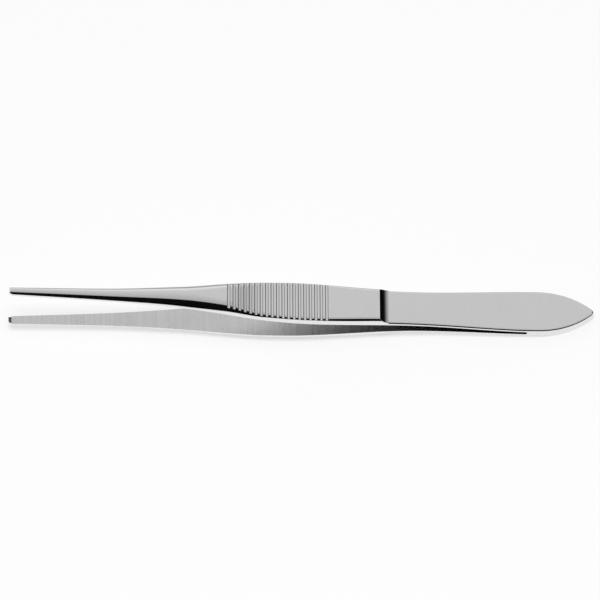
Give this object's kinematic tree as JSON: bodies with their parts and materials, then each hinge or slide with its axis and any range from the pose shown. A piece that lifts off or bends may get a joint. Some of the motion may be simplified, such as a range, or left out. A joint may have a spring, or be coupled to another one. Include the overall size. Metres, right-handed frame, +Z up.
{
  "type": "thumb forceps",
  "caption": "Slender two-blade thumb forceps of spring steel, joined at a leaf-shaped tail, with cross-grooved finger grips and toothed half-round tips for holding tissue.",
  "frame": {"origin": "middle of the footprint, on the surface that the forceps lies on", "axes": "+X towards the tail, +Y across the blades, +Z up from the table, with the lower blade under the upper one"},
  "size_m": [0.1254, 0.01, 0.0154],
  "materials": {
    "steel": "polished outer faces, inner faces ground crosswise"
  },
  "bodies": {
    "root": {"upper_blade": "steel", "lower_blade": "steel"}
  },
  "joints": []
}
